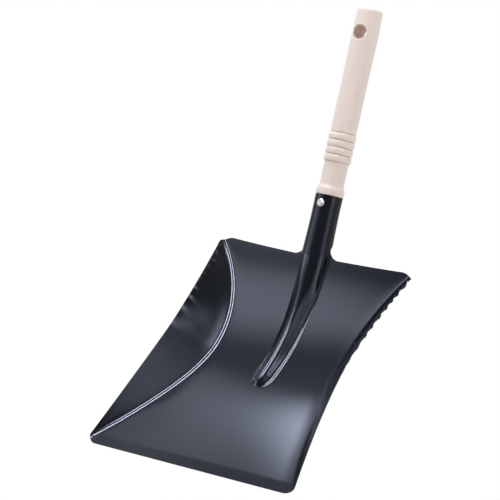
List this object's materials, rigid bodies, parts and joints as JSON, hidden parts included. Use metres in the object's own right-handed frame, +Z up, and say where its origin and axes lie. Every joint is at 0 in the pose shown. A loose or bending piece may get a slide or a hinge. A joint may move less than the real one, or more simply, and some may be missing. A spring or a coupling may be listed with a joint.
{
  "type": "hand scoop shovel",
  "caption": "Short-handled sheet-steel hand scoop with a flat lip, flared sides, a curved back and a turned wooden handle riveted in a rolled socket.",
  "frame": {"origin": "on the ground plane, under the middle of the overall length, in the plane of symmetry", "axes": "+X across the blade to its right, +Y from the front lip towards the handle, +Z up out of the floor"},
  "size_m": [0.2284, 0.4247, 0.2384],
  "materials": {
    "lacquered_steel": "black stoving lacquer, glossy with a soft waviness",
    "beech": "turned, sanded, unvarnished",
    "zinc_steel": "zinc plated, slightly dulled"
  },
  "bodies": {
    "root": {"pan": "lacquered_steel", "handle": "beech", "rivet": "zinc_steel"}
  },
  "joints": []
}
